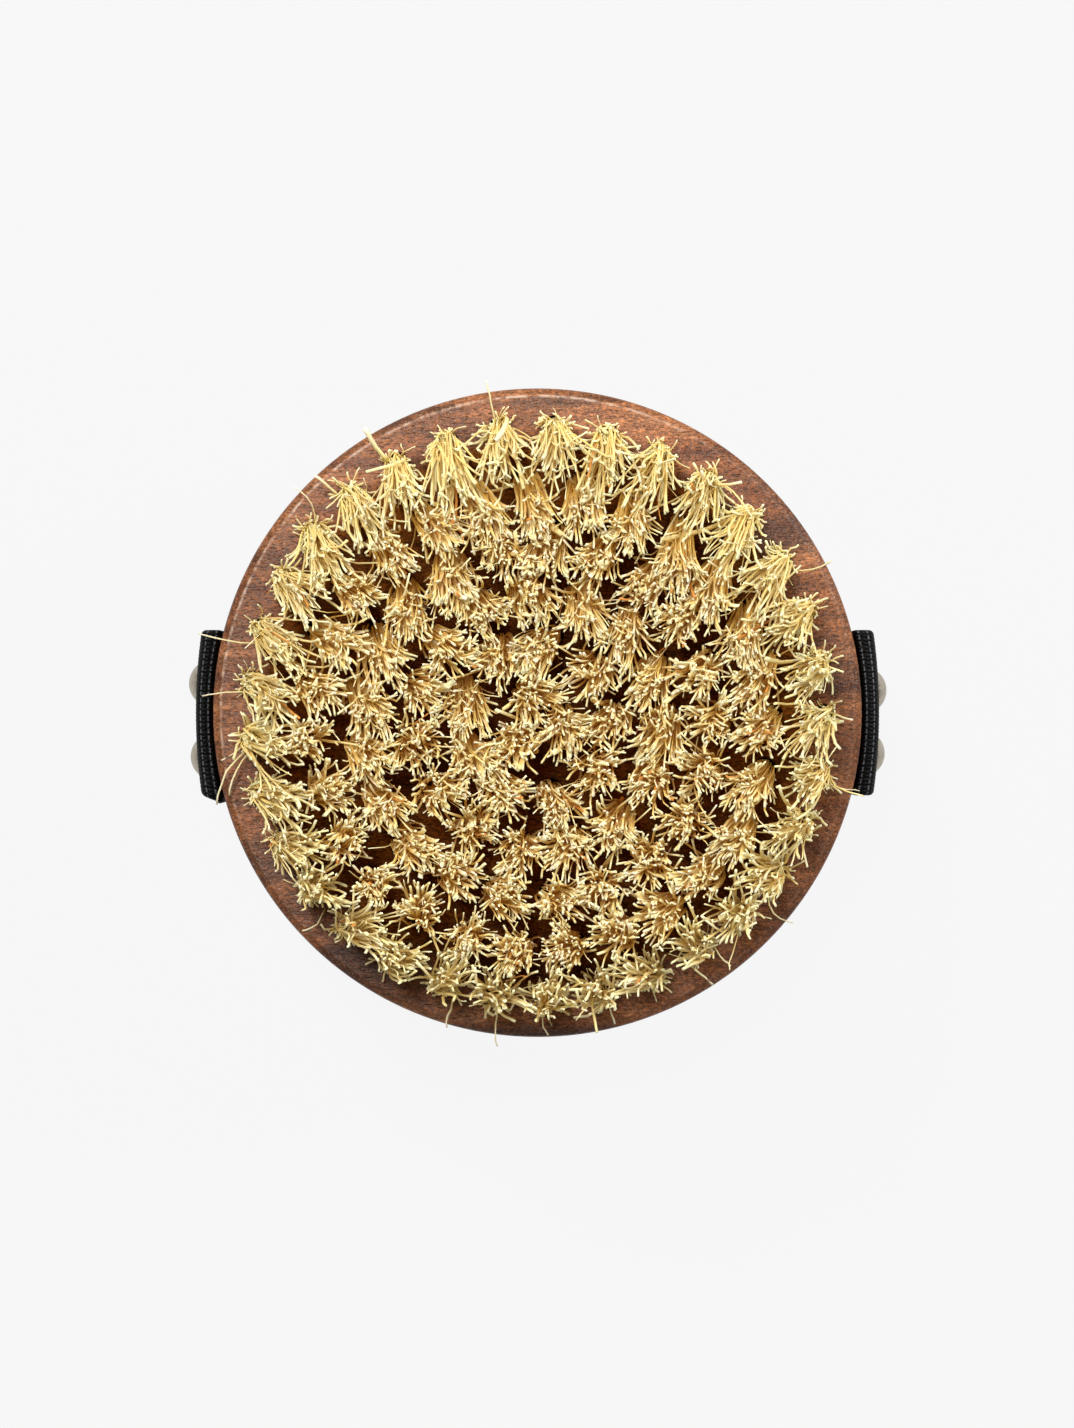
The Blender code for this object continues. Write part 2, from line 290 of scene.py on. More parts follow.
def wood_grain(tree):
    """Walnut's colour, its surface's height and its mottling, with the grain along X.

    It has soft growth bands, mottling, open pores, a few dark streaks, and pale specks that are painted
    glints off the pores.
    """
    bands = noise(tree, scaled(tree, (14, 110, 90), (0, 0, -6)),
                  detail=4, roughness=0.55, distortion=1.1)
    colour = ramp(tree, bands, [
        (0.30, (0.098, 0.028, 0.008)),
        (0.44, (0.160, 0.051, 0.015)),
        (0.56, (0.220, 0.076, 0.024)),
        (0.70, (0.295, 0.113, 0.041)),
    ])
    streaks = noise(tree, scaled(tree, (9, 75, 60), (0, 0, -20)),
                    detail=3, roughness=0.5, distortion=1.2)
    colour = mix(tree, grey_ramp(tree, streaks, [(0.52, 0.0), (0.66, 0.85)]), colour,
                 multiply(tree, colour, (0.36, 0.34, 0.36)))
    lines = noise(tree, scaled(tree, (90, 1500, 1200), (0, 0, -4)),
                  detail=3, roughness=0.6, distortion=0.4)
    contrast = grey_ramp(tree, lines, [(0.3, 0.6), (0.5, 1.0), (0.7, 1.3)])
    colour = mix(tree, 0.6, colour, contrast, "MULTIPLY")
    pores = noise(tree, scaled(tree, (650, 3400, 3000), (0, 0, -4)), detail=1, roughness=0.4)
    pore_mask = grey_ramp(tree, pores, [(0.60, 0.0), (0.68, 1.0)])
    colour = mix(tree, maths(tree, "MULTIPLY", pore_mask, 0.7), colour, (0.030, 0.009, 0.003))
    mottle = noise(tree, scaled(tree, (1500, 2200, 1800)), detail=3, roughness=0.65)
    colour = multiply(tree, colour, grey_ramp(tree, mottle, [(0.32, 0.45), (0.5, 1.0), (0.66, 1.85)]))
    cloud = noise(tree, scaled(tree, (60, 320, 260), (0, 0, 8)), detail=3, roughness=0.6)
    colour = multiply(tree, colour, grey_ramp(tree, cloud, [(0.30, 0.72), (0.5, 1.0), (0.70, 1.22)]))
    # painted glints: pale specks where the pores catch the light
    pore_glints = noise(tree, scaled(tree, (2600, 3600, 3000)), detail=1, roughness=0.5)
    glint_mask = grey_ramp(tree, pore_glints, [(0.62, 0.0), (0.72, 0.38)])
    colour = mix(tree, glint_mask, colour, (0.60, 0.38, 0.26))
    height = maths(tree, "SUBTRACT", maths(tree, "MULTIPLY", lines, 0.4),
                   maths(tree, "MULTIPLY", pore_mask, 0.8))
    height = maths(tree, "ADD", height, maths(tree, "MULTIPLY", mottle, 1.4))
    return colour, height, mottle


def walnut():
    """Oiled walnut, worn as the board is, with painted shade between the tufts and a painted highlight on
    its crest.
    """
    material, tree = new_material("walnut_oiled")
    colour, height, mottle = wood_grain(tree)
    # painted shade: between the tufts, where the bristles shade it, the wood is darkened. Radii are in
    # decimetres, because a ramp ends at 1
    place = tree.nodes.new("ShaderNodeTexCoord").outputs["Object"]
    flat = node(tree, "VectorMath", {"operation": "MULTIPLY"}, i0=place, i1=(1, 1, 0))
    radius = node(tree, "VectorMath", {"operation": "LENGTH"}, i0=flat.outputs[0]).outputs["Value"]
    radius = maths(tree, "MULTIPLY", radius, 10.0)
    inner = grey_ramp(tree, radius, [(0.515, 1.0), (0.555, 0.0)])
    colour = mix(tree, inner, colour, multiply(tree, colour, (0.70, 0.60, 0.19)))
    # the crest round the face is worn a little pale all round in places, and a painted highlight makes it
    # much paler on the -X, +Y side, which faces the key lamp
    crest = CREST_PLACE * 10
    border = grey_ramp(tree, radius, [
        (crest - 0.0015, 0.0), (crest - 0.0003, 1.0), (crest + 0.0005, 1.0), (crest + 0.0017, 0.0)])
    wear_and_highlight = noise(tree, scaled(tree, (420, 420, 420)), detail=3, roughness=0.7)
    border = maths(tree, "MULTIPLY", border, grey_ramp(tree, wear_and_highlight, [(0.42, 0.1), (0.60, 1.0)]))
    # the painted highlight is strongest on the side that faces the key lamp
    side = node(tree, "VectorMath", {"operation": "DOT_PRODUCT"}, i0=place, i1=(-6.4, 7.7, 0))
    border = maths(tree, "MULTIPLY", border,
                   grey_ramp(tree, side.outputs["Value"], [(0.10, 0.12), (0.42, 1.0)]))
    colour = mix(tree, border, colour, (0.75, 0.55, 0.42))
    bump = node(tree, "Bump", Strength=0.6, Distance=0.00016, Height=height)
    roughness = grey_ramp(tree, mottle, [(0.3, 0.32), (0.7, 0.46)])
    # less shine where the shade is painted
    shine = grey_ramp(tree, inner, [(0.0, 0.36), (1.0, 0.03)])
    finish_material(tree, Base_Color=colour, Roughness=roughness, Specular_IOR_Level=shine,
                    Normal=bump.outputs["Normal"])
    return material


def sisal():
    """Plant fibre. Each fibre carries its colours, from its root to its cut end, in its vertices, and
    glows faintly as painted light.
    """
    material, tree = new_material("sisal_fibre")
    own = node(tree, "Attribute", {"attribute_name": "fibre_colour"})
    grain = noise(tree, scaled(tree, (900, 900, 220)), detail=1, roughness=0.5)
    speckle = grey_ramp(tree, grain, [(0.3, 0.72), (0.5, 1.0), (0.7, 1.2)])
    colour = mix(tree, 0.18, own.outputs["Color"], speckle, "MULTIPLY")
    # painted light: each fibre glows faintly in a warmer copy of its colour, in place of the light that
    # fibres pass on to the ones below them, so none is ever quite dark
    painted_glow = multiply(tree, own.outputs["Color"], (1.0, 0.64, 0.42))
    finish_material(tree, Base_Color=colour, Roughness=0.55, Specular_IOR_Level=0.12, Sheen_Weight=0.2,
                    Sheen_Roughness=0.5, Sheen_Tint=(0.95, 0.75, 0.32, 1), Emission_Color=painted_glow,
                    Emission_Strength=0.036)
    return material


def webbing_material():
    """Black woven webbing. The map runs across it and away from its nearer end, in metres."""
    material, tree = new_material("webbing_black")
    coordinates = tree.nodes.new("ShaderNodeUVMap")
    coordinates.uv_map = "webbing"
    parts = node(tree, "SeparateXYZ", Vector=coordinates.outputs["UV"])
    across = maths(tree, "MULTIPLY", parts.outputs["X"], math.pi / YARN_PITCH)
    along = maths(tree, "MULTIPLY", parts.outputs["Y"], math.pi / YARN_PITCH)
    warp = maths(tree, "ABSOLUTE", maths(tree, "SINE", across))
    weft = maths(tree, "ABSOLUTE", maths(tree, "SINE", along))
    # the warp passes over every other weft, so crowns alternate from one yarn to the next
    over = maths(tree, "MULTIPLY", maths(tree, "SINE", across), maths(tree, "SINE", along))
    crowns = maths(tree, "MULTIPLY", warp, weft)
    height = maths(tree, "ADD", crowns, maths(tree, "MULTIPLY", over, 0.35))
    fuzz = noise(tree, scaled(tree, (9000, 9000, 9000)), detail=2)
    height = maths(tree, "ADD", height, maths(tree, "MULTIPLY", fuzz, 0.25))
    bump = node(tree, "Bump", Strength=0.8, Distance=0.00025, Height=height)
    # painted sheen: the yarn crowns are a little lighter, where they catch the light
    colour = ramp(tree, maths(tree, "MULTIPLY", crowns, maths(tree, "ADD", fuzz, 0.45)), [
        (0.25, (0.0006, 0.0006, 0.0006)),
        (0.62, (0.0018, 0.0018, 0.0019)),
        (0.92, (0.012, 0.012, 0.013)),
    ])
    # painted glints: rows of light dashes run across the strap on both sides of the fold's crest, where
    # the folded weave's yarn crowns catch the light
    from_crest = maths(tree, "ABSOLUTE", maths(tree, "SUBTRACT", parts.outputs["Y"], FOLD_CREST))
    from_row = maths(tree, "ABSOLUTE", maths(tree, "SUBTRACT", from_crest, GLINT_ROW))
    row = grey_ramp(tree, maths(tree, "MULTIPLY", from_row, 1000.0), [(0.05, 1.0), (0.10, 0.0)])
    glint_spacing = maths(tree, "MULTIPLY", across, GLINTS_PER_YARN)
    glint_spacing = maths(tree, "ABSOLUTE", maths(tree, "SINE", glint_spacing))
    dash = grey_ramp(tree, glint_spacing, [(0.40, 0.0), (0.60, 1.0)])
    broken = grey_ramp(tree, fuzz, [(0.40, 0.15), (0.60, 1.0)])
    painted_glint = maths(tree, "MULTIPLY", maths(tree, "MULTIPLY", row, dash), broken)
    colour = mix(tree, painted_glint, colour, (0.15, 0.155, 0.17))
    finish_material(tree, Base_Color=colour, Roughness=0.55, Specular_IOR_Level=0.12,
                    Normal=bump.outputs["Normal"])
    return material


def nickel():
    """Satin nickel, a little warm, with faint brushing and dulled patches."""
    material, tree = new_material("nickel_satin")
    cloud = noise(tree, scaled(tree, (900, 900, 900)), detail=3, roughness=0.6)
    colour = ramp(tree, cloud, [(0.35, (0.36, 0.32, 0.25)), (0.65, (0.50, 0.45, 0.37))])
    scratch = noise(tree, scaled(tree, (900, 6000, 14000)), detail=2)
    roughness = grey_ramp(tree, cloud, [(0.3, 0.30), (0.7, 0.44)])
    bump = node(tree, "Bump", Strength=0.12, Distance=0.00004, Height=scratch)
    finish_material(tree, Base_Color=colour, Roughness=roughness, Metallic=1.0,
                    Normal=bump.outputs["Normal"])
    return material


# Stage


def make_floor():
    """A pale floor. It shows itself nearly white to the camera and keeps the brush's shadow, faintly."""
    bm = bmesh.new()
    bmesh.ops.create_grid(bm, x_segments=1, y_segments=1, size=3.0)
    mesh = bpy.data.meshes.new("floor")
    bm.to_mesh(mesh)
    bm.free()
    floor = bpy.data.objects.new("floor", mesh)
    bpy.context.scene.collection.objects.link(floor)
    material, tree = new_material("floor_paper")
    paper = node(tree, "BsdfDiffuse", Color=(0.80, 0.80, 0.80, 1))
    glow = node(tree, "Emission", Color=BACKDROP, Strength=1.0)
    shown = node(tree, "MixShader", Fac=FLOOR_GLOW, i1=paper.outputs[0], i2=glow.outputs[0])
    path = tree.nodes.new("ShaderNodeLightPath")
    seen = maths(tree, "MAXIMUM", path.outputs["Is Camera Ray"], path.outputs["Is Glossy Ray"])
    seen = maths(tree, "MAXIMUM", seen, path.outputs["Is Transmission Ray"])
    both = node(tree, "MixShader", Fac=seen, i1=paper.outputs[0], i2=shown.outputs[0])
    output = tree.nodes.new("ShaderNodeOutputMaterial")
    tree.links.new(both.outputs[0], output.inputs["Surface"])
    mesh.materials.append(material)
    floor.location.z = -FLOOR_DROP


def make_world():
    """The room's even light, and the pale backdrop that the camera sees."""
    world = bpy.data.worlds.new("studio")
    bpy.context.scene.world = world
    world.use_nodes = True
    tree = world.node_tree
    tree.nodes.clear()
    room = node(tree, "Background", Color=ROOM_LIGHT, Strength=ROOM_STRENGTH)
    backdrop = node(tree, "Background", Color=BACKDROP, Strength=1.0)
    path = tree.nodes.new("ShaderNodeLightPath")
    both = node(tree, "MixShader", Fac=path.outputs["Is Camera Ray"],
                i1=room.outputs[0], i2=backdrop.outputs[0])
    output = tree.nodes.new("ShaderNodeOutputWorld")
    tree.links.new(both.outputs[0], output.inputs["Surface"])


def make_lamp(name, direction, distance, size, watts, colour=(1, 1, 1)):
    """A round soft lamp that faces the middle of the board's face."""
    data = bpy.data.lights.new(name, "AREA")
    data.shape = "DISK"
    data.size = size
    data.energy = watts
    data.color = colour
    lamp = bpy.data.objects.new(name, data)
    bpy.context.scene.collection.objects.link(lamp)
    lamp.location = direction.normalized() * distance + Vector((0, 0, FACE_Z))
    lamp.rotation_euler = direction.to_track_quat("Z", "Y").to_euler()


def make_camera():
    """Straight above the brush, with the board where the photograph shows it."""
    x, y, radius = BOARD_IN_PHOTO
    metres_per_pixel = BOARD_RADIUS / radius
    rim_z = FACE_Z - FACE_EDGE_DROP
    data = bpy.data.cameras.new("camera")
    data.sensor_fit = "HORIZONTAL"
    data.sensor_width = SENSOR_WIDTH
    data.lens = SENSOR_WIDTH * CAMERA_DISTANCE / (PHOTO_WIDTH * metres_per_pixel)
    data.clip_end = 20
    camera = bpy.data.objects.new("camera", data)
    bpy.context.scene.collection.objects.link(camera)
    camera.location = (
        (PHOTO_WIDTH / 2 - x) * metres_per_pixel,
        (y - PHOTO_HEIGHT / 2) * metres_per_pixel,
        rim_z + CAMERA_DISTANCE)
    bpy.context.scene.camera = camera


# Pieces


def link(name, mesh, material, slot, body, *nodes):
    """Puts a mesh in the scene on a body, in place of the CAD nodes that are named."""
    obj = bpy.data.objects.new(name, mesh)
    bpy.context.scene.collection.objects.link(obj)
    mesh.materials.append(material)
    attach(obj, body)
    if nodes:
        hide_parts(*nodes)
    return obj


def arc_points(centre, radius, start, end, steps):
    """Points along an arc. Its start and end are in degrees."""
    angles = [math.radians(start + (end - start) * i / steps) for i in range(steps + 1)]
    return [(centre[0] + radius * math.cos(a), centre[1] + radius * math.sin(a)) for a in angles]


def turned_mesh(name, profile, steps):
    """A closed mesh turned about Z. Its profile runs from the axis, down its outer side, to the axis."""
    bm = bmesh.new()
    inner = profile[1:-1]
    top = bm.verts.new((0, 0, profile[0][1]))
    bottom = bm.verts.new((0, 0, profile[-1][1]))
    columns = []
    for i in range(steps):
        a = 2 * math.pi * i / steps
        columns.append([bm.verts.new((r * math.cos(a), r * math.sin(a), z)) for r, z in inner])
    for i, column in enumerate(columns):
        following = columns[(i + 1) % steps]
        bm.faces.new((top, column[0], following[0]))
        for j in range(len(inner) - 1):
            bm.faces.new((column[j], column[j + 1], following[j + 1], following[j]))
        bm.faces.new((column[-1], bottom, following[-1]))
    mesh = bpy.data.meshes.new(name)
    bm.to_mesh(mesh)
    bm.free()
    return mesh


def tufts_in(ring):
    return 3 + 6 * (ring - 1)


def tuft_angle(ring, index):
    return FIRST_TUFT_ANGLE + 2 * math.pi * index / tufts_in(ring)


def make_board():
    """The turned board, with a hole for each tuft."""
    face_edge = (BOARD_RADIUS - FACE_EDGE_RADIUS, FACE_Z - FACE_EDGE_DROP)
    back_edge = (BOARD_RADIUS - BACK_EDGE_RADIUS, BACK_Z + BACK_EDGE_RADIUS)
    profile = [(0.0, FACE_Z)] + [(radius, FACE_Z) for radius in FACE_STEPS]
    profile += arc_points((CREST_PLACE, FACE_Z - CREST_RADIUS), CREST_RADIUS, 90, 52, 6)
    profile += arc_points(face_edge, FACE_EDGE_RADIUS, 48, 0, 6)
    profile += [(BOARD_RADIUS, z) for z in SIDE_STEPS]
    profile += arc_points(back_edge, BACK_EDGE_RADIUS, 0, -90, 12)
    profile += [(FACE_STEPS[-1], BACK_Z), (0.0, BACK_Z)]
    mesh = turned_mesh("board_turned", profile, BOARD_STEPS)
    board = link("board_turned", mesh, walnut(), "walnut", "brush", "board")

    bm = bmesh.new()
    for ring in range(1, RINGS + 1):
        for index in range(tufts_in(ring)):
            place = Matrix.Rotation(tuft_angle(ring, index), 4, "Z") @ Matrix.Translation(
                (RING_PITCH * (ring - 0.5), 0, FACE_Z))
            bmesh.ops.create_cone(bm, cap_ends=True, segments=16, radius1=HOLE_RADIUS,
                                  radius2=HOLE_RADIUS, depth=2 * HOLE_DEPTH, matrix=place)
    holes = bpy.data.objects.new("holes", bpy.data.meshes.new("holes"))
    bm.to_mesh(holes.data)
    bm.free()
    bpy.context.scene.collection.objects.link(holes)
    cut = board.modifiers.new("holes", "BOOLEAN")
    cut.object = holes
    cut.solver = "EXACT"
    depsgraph = bpy.context.evaluated_depsgraph_get()
    finished = bpy.data.meshes.new_from_object(board.evaluated_get(depsgraph))
    board.modifiers.clear()
    board.data = finished
    bpy.data.objects.remove(holes)
    finished.shade_smooth()
    finished.set_sharp_from_angle(angle=SHARP_ANGLE)


class Fibres:
    """Collects fibres, each a thin tube along a curve, and turns them into one mesh."""

    SIDES = 5
    STATIONS = 6

    def __init__(self):
        self.controls = []
        self.wobbles = []
        self.shapes = []
        self.colours = []

    def add(self, controls, width, flatness, colours, waviness):
        """A fibre: four control points, its width, its flatness (1 is round) and its fibre_colours."""
        self.controls.append(controls)
        wobble = rng.normal(0, waviness, (self.STATIONS, 3))
        wobble[0] = 0
        self.wobbles.append(wobble)
        self.shapes.append((width, flatness, rng.uniform(0, math.pi)))
        self.colours.append(colours)

    def points(self):
        """The tubes' points: for each fibre, each station along it and each side."""
        control = np.array(self.controls)
        count, stations, sides = len(control), self.STATIONS, self.SIDES
        t = (1 - (1 - np.linspace(0, 1, stations)) ** 1.25)[None, :, None]
        p0, p1, p2, p3 = (control[:, i][:, None, :] for i in range(4))
        centre = (1 - t) ** 3 * p0 + 3 * (1 - t) ** 2 * t * p1 + 3 * (1 - t) * t**2 * p2 + t**3 * p3
        centre = centre + np.array(self.wobbles)
        tangent = np.gradient(centre, axis=1)
        tangent /= np.linalg.norm(tangent, axis=2, keepdims=True)
        width, flatness, turn = np.array(self.shapes).T
        reference = np.stack([np.cos(turn), np.sin(turn), np.zeros(count)], 1)[:, None, :]
        side = np.cross(tangent, reference)
        side /= np.linalg.norm(side, axis=2, keepdims=True)
        other = np.cross(tangent, side)
        around = 2 * np.pi * np.arange(sides) / sides
        swell = np.linspace(0.88, 1.06, stations)[None, :, None, None]
        cosines, sines = (wave(around)[None, None, :, None] for wave in (np.cos, np.sin))
        width, flatness = width[:, None, None, None], flatness[:, None, None, None]
        ring = cosines * side[:, :, None, :] + flatness * sines * other[:, :, None, :]
        return centre[:, :, None, :] + width / 2 * swell * ring

    def mesh(self, name):
        """One mesh of all the fibres, each a closed tube."""
        points = self.points()
        count, stations, sides = points.shape[:3]
        first = (np.arange(count) * stations * sides)[:, None, None]
        row = (np.arange(stations - 1) * sides)[None, :, None]
        corner = np.arange(sides)[None, None, :]
        following = (corner + 1) % sides
        quads = np.stack([first + row + corner, first + row + following,
                          first + row + sides + following, first + row + sides + corner], -1)
        quads = quads.reshape(-1, 4)
        tips = first[:, 0] + (stations - 1) * sides + np.arange(sides)[None, :]
        roots = first[:, 0] + np.arange(sides)[::-1][None, :]
        loops = np.concatenate([quads.ravel(), tips.ravel(), roots.ravel()])
        sizes = np.concatenate([np.full(len(quads), 4), np.full(2 * count, sides)])
        starts = np.concatenate([[0], np.cumsum(sizes)[:-1]])
        smooth = np.arange(len(sizes)) < len(quads)

        mesh = bpy.data.meshes.new(name)
        mesh.vertices.add(count * stations * sides)
        mesh.vertices.foreach_set("co", points.astype(np.float32).ravel())
        mesh.loops.add(len(loops))
        mesh.loops.foreach_set("vertex_index", loops.astype(np.int32))
        mesh.polygons.add(len(sizes))
        mesh.polygons.foreach_set("loop_start", starts.astype(np.int32))
        mesh.polygons.foreach_set("use_smooth", smooth)
        mesh.update(calc_edges=True)
        mesh.validate()
        self.paint(mesh)
        return mesh

    def paint(self, mesh):
        """Gives each vertex its fibre's colour at its station."""
        root, tip, fade = (np.array([c[i] for c in self.colours]) for i in range(3))
        share = np.linspace(0, 1, self.STATIONS)[None, :] ** fade[:, None]
        colours = root[:, None, :] * (1 - share[..., None]) + tip[:, None, :] * share[..., None]
        colours = np.repeat(colours[:, :, None, :], self.SIDES, axis=2).reshape(-1, 3)
        layer = mesh.color_attributes.new("fibre_colour", "FLOAT_COLOR", "POINT")
        rgba = np.concatenate([colours, np.ones((len(colours), 1))], 1)
        layer.data.foreach_set("color", rgba.astype(np.float32).ravel())


def unit(v):
    return v / np.linalg.norm(v)


def fibre_colours(outer):
    """Colours at the root and the tip, and how late the tip's colour comes in.

    Outer is 1 for a fibre on the outside, painted pale all along as lit, and 0 for one deep in a tuft,
    whose amber root is partly painted shade.
    """
    kind = rng.random()
    if kind < 0.010:
        return RARE_ORANGE * 0.9, RARE_ORANGE, 1.0
    tip = TIP_CREAM if kind < 0.55 else (TIP_PALE if kind < 0.75 + 0.1 * outer else TIP_GOLD)
    tip = (tip * (1 - 0.6 * outer) + TIP_LEMON * 0.6 * outer) * rng.uniform(0.79, 0.99)
    root = (ROOT_AMBER * (1 - outer) + OUTER_STRAW * outer) * rng.uniform(0.8, 1.15)
    fade = rng.uniform(1.4, 3.2) * (1 - outer) + 0.9 * outer
    return np.clip(root, 0, PALEST), np.clip(tip, 0, PALEST), fade


def fibre_section(in_outer_ring):
    """A fibre's width and flatness. Most are half a millimetre thick, and a few are blades or hairs."""
    kind = rng.random()
    blades_until, hairs_until = 0.05, 0.18
    if kind < blades_until:
        return rng.uniform(0.0008, 0.0011), rng.uniform(0.22, 0.35)
    if kind < hairs_until:
        return rng.uniform(0.00014, 0.00026), 0.9
    mean = 0.00046 if in_outer_ring else 0.00044
    return float(np.clip(rng.normal(mean, 0.00008), 0.00028, 0.00070)), rng.uniform(0.6, 0.95)


def level_way(turn):
    return np.array((math.cos(turn), math.sin(turn), 0.0))


def make_locks(cone, openness):
    """The locks in a tuft, by the golden angle, so that they fill its hole evenly.

    Each is its place in the hole (a turn and a share of the radius), the cone's slant there, the way its
    end leans, how far it leans, and over what share of its length.
    """
    first_turn = rng.uniform(0, 2 * math.pi)
    locks = []
    for k in range(LOCKS_IN_TUFT):
        place_turn = first_turn + GOLDEN_ANGLE * k + rng.normal(0, 0.2)
        rim = math.sqrt((k + 0.5) / LOCKS_IN_TUFT)
        slant = cone * rng.uniform(0.5, 1.5)
        stands = rim < 0.6
        leans = rng.uniform(0, 2 * math.pi) if stands else place_turn + rng.normal(0, 0.8)
        flare = abs(rng.normal(0, 0.45)) if stands else openness * rng.uniform(0.35, 1.2)
        locks.append((place_turn, rim, slant, leans, flare, rng.uniform(0.14, 0.36)))
    return locks


def add_stub(fibres, angle, root_centre):
    """A short curled end, which helps to close the hole on its outer side."""
    side = level_way(angle + rng.uniform(-1.6, 1.6))
    root = root_centre + side * rng.uniform(0.5, 0.95) * HOLE_RADIUS
    rise = unit(UP + side * rng.uniform(-0.3, 0.35))
    end = unit(level_way(rng.uniform(0, 2 * math.pi)) + UP * rng.uniform(-0.2, 0.9))
    reach = rng.uniform(0.0012, 0.0050)
    tip = root + unit(rise + end) * reach
    controls = (root, root + rise * reach * 0.4, tip - end * reach * 0.4, tip)
    colours = ((OUTER_STRAW + ROOT_AMBER) / 2, TIP_CREAM * 0.95, 1.0)
    fibres.add(controls, rng.uniform(0.0003, 0.0006), rng.uniform(0.4, 0.8), colours, SHORT_WAVINESS)


def fibre_habit(in_outer_ring, lock, length):
    """How a fibre of a lock goes. Some leave it low down, some are broken short, and a few cross the gaps.

    Its place in the hole (in a circle of radius 1), its slant, the way it bends, how far it bends and over
    what share of its length, its reach, and how pale it is painted as lit on the outside, from 0 to 1.
    """
    place_turn, rim, slant, leans, flare, bend = lock
    place = level_way(place_turn) * rim + rng.normal(0, 0.10, 3) * LEVEL
    turn = leans + rng.normal(0, 0.42)
    flare = flare * rng.uniform(0.7, 1.25) + abs(rng.normal(0, 0.15))
    bend *= rng.uniform(0.8, 1.2)
    reach = length * (1 - rng.exponential(0.045))
    outer = 0.45 if in_outer_ring else 0.10
    low_until, short_until, crosses_from = (0.42, 0.52, 0.965) if in_outer_ring else (0.18, 0.18, 0.93)
    kind = rng.random()
    if kind < low_until:
        share = rng.uniform(0.2, 0.62 if in_outer_ring else 0.95)
        place = unit(place) * rng.uniform(0.5, 1.0)
        turn = place_turn + rng.normal(0, 0.9)
        flare = rng.uniform(0.25, 1.15) * (1.1 - 0.8 * share)
        bend, reach = rng.uniform(0.4, 0.8), length * share
        outer = 0.9 if in_outer_ring else 0.2
    elif kind < short_until:
        place = unit(place) * rng.uniform(0.7, 1.0)
        turn, slant = place_turn + rng.normal(0, 0.3), 0.3
        flare, bend, reach = rng.uniform(0.5, 1.3), 0.6, length * rng.uniform(0.10, 0.28)
        outer = 0.5
    elif kind > crosses_from:
        turn, flare = rng.uniform(0, 2 * math.pi), rng.uniform(0.6, 1.25)
        bend, reach = rng.uniform(0.35, 0.7), length * rng.uniform(0.75, 1.0)
    place /= max(1.0, np.linalg.norm(place))
    return place, slant, turn, min(flare, MAX_FLARE), bend, reach, outer


def add_fibre(fibres, in_outer_ring, lock, root_centre, way, length, trim):
    """A fibre of a lock. It runs along the tuft's cone, then bends its own way, and is trimmed."""
    place, slant, turn, flare, bend, reach, outer = fibre_habit(in_outer_ring, lock, length)
    side = level_way(turn)
    root = root_centre + place * HOLE_RADIUS
    run = unit(way + place * slant + rng.normal(0, 0.08 if in_outer_ring else 0.025, 3) * LEVEL)
    turned = unit(run + side * math.tan(flare / 2))
    step = run * (1 - bend) + turned * bend
    reach = min(reach, (trim + rng.normal(0, 0.0004) - root[2]) / step[2])
    end = unit(run * math.cos(flare) + side * math.sin(flare) + rng.normal(0, 0.2, 3))
    tip = root + step * reach
    # the outer ring keeps off the board's rim, but for some fibres
    strays_over = rng.random() < 0.3
    border = TUFTS_BORDER + (rng.uniform(0.002, 0.007) if strays_over else rng.normal(0, 0.0009))
    beyond = np.linalg.norm(tip * LEVEL) - border
    if in_outer_ring and beyond > 0:
        reach *= max(0.3, 1 - beyond / np.linalg.norm((tip - root) * LEVEL))
        tip = root + step * reach
    rise = unit(UP + run * 0.5 + place * slant * 2)
    above_root = root + rise * reach * max(0.2, 1 - bend) * 0.6
    controls = (root, above_root, tip - end * reach * bend * 0.7, tip)
    fibres.add(controls, *fibre_section(in_outer_ring), fibre_colours(outer), WAVINESS)


def add_tuft(fibres, ring, index):
    """A bundle of fibres that fills its hole and opens like a cone."""
    angle = tuft_angle(ring, index)
    in_outer_ring = ring == RINGS
    foot = level_way(angle) * RING_PITCH * (ring - 0.5)
    root_centre = foot + UP * (FACE_Z - ROOT_DEPTH)
    tip_centre = foot * TIP_GATHER + np.array((0, TIP_SWEEP, TIP_Z))
    # inner rings lean a little to either side in turn, so their tufts don't line up
    twist = 0.0 if in_outer_ring else RING_TWIST * (-1) ** ring
    tip_centre += level_way(angle + math.pi / 2) * twist + rng.normal(0, 0.0008, 3) * LEVEL
    way = unit(tip_centre - root_centre)
    length = np.linalg.norm(tip_centre - root_centre) * 1.06
    trim = TIP_Z + rng.normal(0, 0.0005)
    narrow = NARROW_RINGS.get(ring, NARROW_INSIDE)
    cone = TUFT_CONE * rng.uniform(0.8, 1.4) * narrow
    locks = make_locks(cone, rng.uniform(0.72, 1.05) * narrow)
    for _ in range(STUBS_IN_OUTER_TUFT if in_outer_ring else 0):
        add_stub(fibres, angle, root_centre)
    for _ in range(FIBRES_IN_OUTER_TUFT if in_outer_ring else FIBRES_IN_TUFT):
        lock = locks[rng.integers(len(locks))]
        add_fibre(fibres, in_outer_ring, lock, root_centre, way, length, trim)


